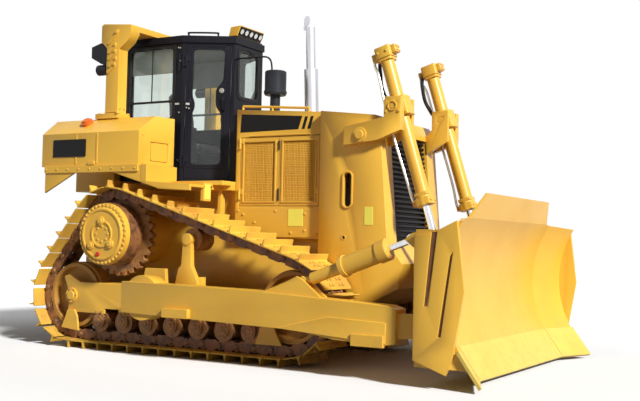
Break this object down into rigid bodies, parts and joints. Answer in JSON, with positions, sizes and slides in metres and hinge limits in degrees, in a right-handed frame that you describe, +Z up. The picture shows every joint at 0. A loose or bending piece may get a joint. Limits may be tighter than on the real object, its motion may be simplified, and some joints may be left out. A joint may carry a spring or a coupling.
{
  "type": "crawler dozer with raised drive sprockets",
  "caption": "Crawler dozer with raised sprockets, single-grouser tracks, semi-U blade lifted by two cylinders, closed cab with roll bar and hinged doors.",
  "frame": {"origin": "on the ground, under the middle of the overall box", "axes": "+X forwards to the blade, +Y to the machine's left, +Z up"},
  "size_m": [5.8, 3.458, 3.8081],
  "materials": {
    "yellow_paint": "semi-gloss, dusty",
    "black_paint": "semi-gloss",
    "track_steel": "rust-brown, worn bright where it rubs",
    "shoe_paint": "painted, worn at the grousers",
    "worn_steel": "painted edge steel, lightly worn",
    "chrome": "polished",
    "stack_metal": "satin, heat-dulled",
    "engine_grey": "satin",
    "cab_glass": "lightly tinted",
    "seat_cloth": "woven",
    "dark_plastic": "moulded, matt"
  },
  "bodies": {
    "root": {"arm_trunnions": "yellow_paint", "belly_guard": "yellow_paint", "cab_glass": "cab_glass", "cab_roof": "black_paint", "cab_shell": "black_paint", "carrier_posts": "yellow_paint", "carrier_rollers": "track_steel", "console": "dark_plastic", "drawbar": "yellow_paint", "engine_block": "engine_grey", "equalizer_bar": "yellow_paint", "exhaust_stack": "stack_metal", "fenders": "yellow_paint", "final_drives": "yellow_paint", "fuel_tank": "yellow_paint", "handrails": "yellow_paint", "hood": "yellow_paint", "hull": "yellow_paint", "idlers": "track_steel", "lift_yokes": "yellow_paint", "pivot_shafts": "yellow_paint", "platform": "yellow_paint", "precleaner": "dark_plastic", "radiator_grille": "black_paint", "radiator_guard": "yellow_paint", "rear_lamps": "dark_plastic", "roof_lamps": "yellow_paint", "rops": "yellow_paint", "seat": "seat_cloth", "side_tanks": "yellow_paint", "sprockets": "track_steel", "track_frame_left": "yellow_paint", "track_frame_right": "yellow_paint", "track_left": "shoe_paint", "track_right": "shoe_paint", "track_rollers": "track_steel"},
    "dozer": {"push_arm_left": "yellow_paint", "push_arm_right": "yellow_paint", "moldboard": "yellow_paint", "blade_frame": "yellow_paint", "cutting_edge": "worn_steel", "end_bits": "worn_steel", "tilt_cylinder": "yellow_paint", "tilt_rod": "chrome", "screw_brace": "yellow_paint"},
    "lift_barrel_left": {"lift_barrel_left": "yellow_paint"},
    "lift_rod_left": {"lift_rod_left": "chrome"},
    "cab_door_left": {"cab_door_left": "black_paint", "door_glass_left": "cab_glass"},
    "engine_door_rear_left": {"engine_door_rear_left": "yellow_paint"},
    "engine_door_front_left": {"engine_door_front_left": "yellow_paint"},
    "lift_barrel_right": {"lift_barrel_right": "yellow_paint"},
    "lift_rod_right": {"lift_rod_right": "chrome"},
    "cab_door_right": {"cab_door_right": "black_paint", "door_glass_right": "cab_glass"},
    "engine_door_rear_right": {"engine_door_rear_right": "yellow_paint"},
    "engine_door_front_right": {"engine_door_front_right": "yellow_paint"},
    "rain_cap": {"rain_cap": "stack_metal"}
  },
  "joints": [
    {"name": "blade_lift", "type": "hinge", "parent": "root", "child": "dozer", "pos_m": [-0.92, 0, 0.63], "axis": [0, -1, 0], "range_deg": [-8, 16.5]},
    {"name": "lift_barrel_swing_left", "type": "hinge", "parent": "root", "child": "lift_barrel_left", "pos_m": [1.55, 0.58, 2.63], "axis": [0, -1, 0], "range_deg": [-3.5, 7]},
    {"name": "lift_rod_slide_left", "type": "slide", "parent": "lift_barrel_left", "child": "lift_rod_left", "axis": [0.2948, 0, -0.9556], "range_m": [-0.872, 0.425]},
    {"name": "lift_barrel_swing_right", "type": "hinge", "parent": "root", "child": "lift_barrel_right", "pos_m": [1.55, -0.58, 2.63], "axis": [0, -1, 0], "range_deg": [-3.5, 7]},
    {"name": "lift_rod_slide_right", "type": "slide", "parent": "lift_barrel_right", "child": "lift_rod_right", "axis": [0.2948, 0, -0.9556], "range_m": [-0.872, 0.425]},
    {"name": "cab_door_hinge_left", "type": "hinge", "parent": "root", "child": "cab_door_left", "pos_m": [-1.19375, 0.57895, 2.7], "axis": [0, 0, 1], "range_deg": [0, 95]},
    {"name": "engine_door_rear_hinge_left", "type": "hinge", "parent": "root", "child": "engine_door_rear_left", "pos_m": [-0.382, 0.612, 2], "axis": [0, 0, 1], "range_deg": [0, 100]},
    {"name": "engine_door_front_hinge_left", "type": "hinge", "parent": "root", "child": "engine_door_front_left", "pos_m": [0.632, 0.612, 2], "axis": [0, 0, -1], "range_deg": [0, 100]},
    {"name": "cab_door_hinge_right", "type": "hinge", "parent": "root", "child": "cab_door_right", "pos_m": [-1.19375, -0.57895, 2.7], "axis": [0, 0, -1], "range_deg": [0, 95]},
    {"name": "engine_door_rear_hinge_right", "type": "hinge", "parent": "root", "child": "engine_door_rear_right", "pos_m": [-0.382, -0.612, 2], "axis": [0, 0, -1], "range_deg": [0, 100]},
    {"name": "engine_door_front_hinge_right", "type": "hinge", "parent": "root", "child": "engine_door_front_right", "pos_m": [0.632, -0.612, 2], "axis": [0, 0, 1], "range_deg": [0, 100]},
    {"name": "rain_cap_hinge", "type": "hinge", "parent": "root", "child": "rain_cap", "pos_m": [0.123, -0.1, 3.684], "axis": [0, -1, 0], "range_deg": [-75, 5]}
  ],
  "couplings": [
    {"joint": "lift_barrel_swing_left", "follows": "blade_lift", "ratio": 0.4},
    {"joint": "lift_rod_slide_left", "follows": "blade_lift", "m_per_rad": -3.008},
    {"joint": "lift_barrel_swing_right", "follows": "blade_lift", "ratio": 0.4},
    {"joint": "lift_rod_slide_right", "follows": "blade_lift", "m_per_rad": -3.008}
  ]
}
